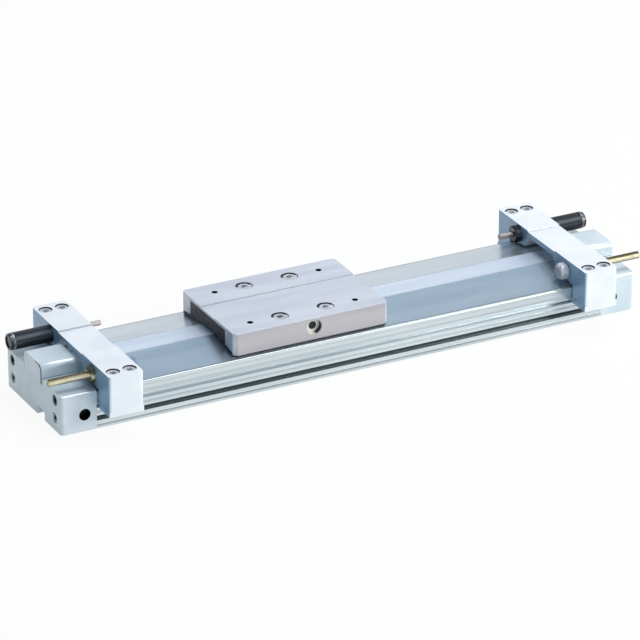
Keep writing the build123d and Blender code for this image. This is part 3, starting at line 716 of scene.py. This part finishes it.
outer_low, outer_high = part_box("dust_seal_band")
inner_low, inner_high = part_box("inner_seal_band")
outer_section = flat_section(outer_high[1], OUTER_THICKNESS)
inner_section = flat_section(STRIP_HALF, INNER_THICKNESS)
bore_side = [(y, BORE_HEIGHT + math.sqrt(WINGS_RADIUS ** 2 - y ** 2))
             for y in (-0.0052, -0.0026, 0.0, 0.0026, 0.0052)]
winged = bore_side + [(0.0040, 0.0322), (0.0036, 0.0329), (-0.0036, 0.0329), (-0.0040, 0.0322)]
lifted = outer_high[2] - OUTER_THICKNESS
for side, word in ((-1, "left"), (1, "right")):
    first = side < 0
    end = outer_low[0] if first else outer_high[0]
    foot = TABLE_MIDDLE + side * ARCH_FOOT
    stations = [(end, outer_low[2]), (foot, outer_low[2]),
                (TABLE_MIDDLE + side * ARCH_TOP, lifted), (TABLE_MIDDLE, lifted)]
    half_band("outer_band_" + word, [strip(stations, outer_section)],
              ("dust_seal_band",) if first else ())
    end = inner_low[0] if first else inner_high[0]
    foot = TABLE_MIDDLE + side * WINGS_END
    stations = [(foot, STRIP_HEIGHT), (TABLE_MIDDLE + side * DIP_FOOT, STRIP_HEIGHT),
                (TABLE_MIDDLE + side * DIP_BOTTOM, inner_low[2]), (TABLE_MIDDLE, inner_low[2])]
    wings = strip([(end, 0.0), (foot, 0.0)], winged)
    half_band("inner_band_" + word, [wings, strip(stations, inner_section)],
              ("inner_seal_band",) if first else ())

# %% [markdown]
# ## Broken edges
# A machined edge is never sharp. It is broken with a file or a small chamfer, and that narrow
# slope catches the light and draws a bright line round the piece. A bevel modifier does the same.
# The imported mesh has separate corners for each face, so a weld modifier joins them first.

# %% Bevel the large pieces
SHARP_ANGLE = math.radians(35)
broken = {
    0.0003: ["bridge_screws", "head_screws", "table_screws"],
    0.0004: ["head_cover_left", "head_cover_right", "absorber_rod_left", "absorber_rod_right"],
    0.0005: ["slide_table", "adjuster_bridge_left", "adjuster_bridge_right"],
    0.0009: ["band_clamp_left", "band_clamp_right"],
}
for width, names in broken.items():
    for name in names:
        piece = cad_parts[name]
        weld = piece.modifiers.new("weld", "WELD")
        weld.merge_threshold = 0.00001
        bevel = piece.modifiers.new("broken_edge", "BEVEL")
        bevel.width = width
        bevel.segments = 2
        bevel.limit_method = "ANGLE"
        bevel.angle_limit = SHARP_ANGLE
        bevel.harden_normals = True
    print("edges broken by", width, "m:", names)

# %% [markdown]
# ## A white page to stand on
# A pale floor under the cylinder takes its soft shadow. Seen by the camera, through a clear piece
# or in a mirror of metal, it is nearly as bright as the page. For diffuse light it is an ordinary
# floor, and its slightly blue tone tints what it lights from below.

# %% Floor
def sees_white(tree, mirrored_part=1.0):
    """1 for a ray from the camera or through a clear piece, mirrored_part for one off metal."""
    path = tree.nodes.new("ShaderNodeLightPath")
    direct = compute(tree, "MAXIMUM", path.outputs["Is Camera Ray"],
                     path.outputs["Is Transmission Ray"])
    mirrored = both(tree, path.outputs["Is Glossy Ray"], mirrored_part)
    return compute(tree, "MAXIMUM", direct, mirrored)


page = bpy.data.materials.new("white_page")
page.use_nodes = True
tree = page.node_tree
tree.nodes.clear()
output = tree.nodes.new("ShaderNodeOutputMaterial")
paper = tree.nodes.new("ShaderNodeBsdfDiffuse")
paper.inputs["Color"].default_value = grey(0.86)
dusk = tree.nodes.new("ShaderNodeBsdfDiffuse")
dusk.inputs["Color"].default_value = (0.70, 0.79, 0.80, 1)
glow = tree.nodes.new("ShaderNodeEmission")
glow.inputs["Color"].default_value = grey(1.0)
veil = tree.nodes.new("ShaderNodeMixShader")
veil.inputs["Fac"].default_value = 0.93
mix = tree.nodes.new("ShaderNodeMixShader")
tree.links.new(paper.outputs[0], veil.inputs[1])
tree.links.new(glow.outputs[0], veil.inputs[2])
tree.links.new(sees_white(tree), mix.inputs["Fac"])
tree.links.new(dusk.outputs[0], mix.inputs[1])
tree.links.new(veil.outputs[0], mix.inputs[2])
tree.links.new(mix.outputs[0], output.inputs["Surface"])

sheet = bmesh.new()
bmesh.ops.create_grid(sheet, x_segments=1, y_segments=1, size=12.0)
floor_mesh = bpy.data.meshes.new("studio_floor")
sheet.to_mesh(floor_mesh)
sheet.free()
floor = bpy.data.objects.new("studio_floor", floor_mesh)
floor.location = (0, 0, -0.0003)
floor.data.materials.append(page)
bpy.context.scene.collection.objects.link(floor)
print("floor faces:", len(floor_mesh.polygons))

# %% [markdown]
# ## The room that the metal mirrors
# The room is bright to the right and falls off to a dim blue on the left, which is why the left
# faces of the real object look so much darker than its top. A second ramp runs with height and
# dims the ceiling straight above. Near the horizon the metal mirrors the white page instead, as it
# does in a studio where a white sheet curves up behind the object.

# %% World
BRIGHT_SIDE = (0.60, -0.20, 0.10)
HORIZON = 0.3

world = bpy.data.worlds.new("studio_world")
bpy.context.scene.world = world
world.use_nodes = True
tree = world.node_tree
tree.nodes.clear()
output = tree.nodes.new("ShaderNodeOutputWorld")
direction = tree.nodes.new("ShaderNodeTexCoord")
toward = tree.nodes.new("ShaderNodeVectorMath")
toward.operation = "DOT_PRODUCT"
toward.inputs[1].default_value = BRIGHT_SIDE
tree.links.new(direction.outputs["Generated"], toward.inputs[0])
from_right = compute(tree, "ADD", toward.outputs["Value"], 0.5)
sides = ramp(tree, from_right, [(0.0, (0.02, 0.05, 0.07, 1)), (0.3, (0.14, 0.24, 0.33, 1)),
                                (0.6, (0.86, 0.91, 0.96, 1)), (1.0, grey(1.0))])
split = tree.nodes.new("ShaderNodeSeparateXYZ")
tree.links.new(direction.outputs["Generated"], split.inputs["Vector"])
ceiling = ramp(tree, split.outputs["Z"], [(0.0, (0.8, 0.85, 0.9, 1)), (0.25, grey(1.0)),
                                          (0.46, grey(1.0)), (0.62, (0.34, 0.44, 0.56, 1)),
                                          (1.0, (0.45, 0.52, 0.6, 1))])
room = tree.nodes.new("ShaderNodeMix")
room.data_type = "RGBA"
room.blend_type = "MULTIPLY"
room.inputs["Factor"].default_value = 1.0
tree.links.new(sides, room.inputs[6])
tree.links.new(ceiling, room.inputs[7])
soft = tree.nodes.new("ShaderNodeBackground")
soft.inputs["Strength"].default_value = 1.0
tree.links.new(room.outputs[2], soft.inputs["Color"])
white = tree.nodes.new("ShaderNodeBackground")
white.inputs["Color"].default_value = grey(1.0)
white.inputs["Strength"].default_value = 1.0
mix = tree.nodes.new("ShaderNodeMixShader")
near_horizon = compute(tree, "LESS_THAN", split.outputs["Z"], HORIZON)
tree.links.new(sees_white(tree, near_horizon), mix.inputs["Fac"])
tree.links.new(soft.outputs[0], mix.inputs[1])
tree.links.new(white.outputs[0], mix.inputs[2])
tree.links.new(mix.outputs[0], output.inputs["Surface"])
print("world nodes:", len(tree.nodes))

# %% [markdown]
# ## Two soft lamps
# The key lamp hangs high above the right half of the cylinder and lights the tops. The second one
# stands low at the front right and opens up the near side. Both are wide discs, so the shadows
# stay soft.

# %% Lamps
def lamp(name, place, size, watts):
    light = bpy.data.lights.new(name, "AREA")
    light.shape = "DISK"
    light.size = size
    light.energy = watts
    holder = bpy.data.objects.new(name, light)
    holder.location = place
    holder.rotation_mode = "QUATERNION"
    toward_part = Vector((0.0, 0.0, 0.02)) - Vector(place)
    holder.rotation_quaternion = toward_part.to_track_quat("-Z", "Y")
    bpy.context.scene.collection.objects.link(holder)
    print("lamp:", name, watts, "W")


lamp("key", (0.7, 0.2, 2.1), 1.2, 26)
lamp("front", (1.5, -1.5, 0.8), 0.7, 22)

# %% [markdown]
# ## The camera
# The photograph was taken with a long lens from the front left. Straight edges that are parallel
# on the cylinder hardly converge, which is what a long lens does. The angles come from fitting
# the corners of the tube, the head covers and the table to the photograph.

# %% Camera
AZIMUTH, ELEVATION = math.radians(-27.224), math.radians(25.474)
DISTANCE = 3.818
FOCAL_PIXELS, FRAME_PIXELS = 4804.0, 640.0
CENTRE_RIGHT, CENTRE_UP = -5.3, 25.93

look = Vector((-math.sin(AZIMUTH) * math.cos(ELEVATION), math.cos(AZIMUTH) * math.cos(ELEVATION),
               -math.sin(ELEVATION)))
right = Vector((math.cos(AZIMUTH), math.sin(AZIMUTH), 0))
up = right.cross(look)
aim = look + right * (CENTRE_RIGHT / FOCAL_PIXELS) + up * (CENTRE_UP / FOCAL_PIXELS)
lens = bpy.data.cameras.new("long_lens")
lens.sensor_width = 36.0
lens.lens = FOCAL_PIXELS / FRAME_PIXELS * lens.sensor_width
camera = bpy.data.objects.new("long_lens", lens)
camera.location = look * -DISTANCE
camera.rotation_mode = "QUATERNION"
camera.rotation_quaternion = aim.to_track_quat("-Z", "Y")
bpy.context.scene.collection.objects.link(camera)
bpy.context.scene.camera = camera
bpy.context.scene.view_settings.view_transform = "Standard"
print("lens in millimetres:", round(lens.lens, 1))
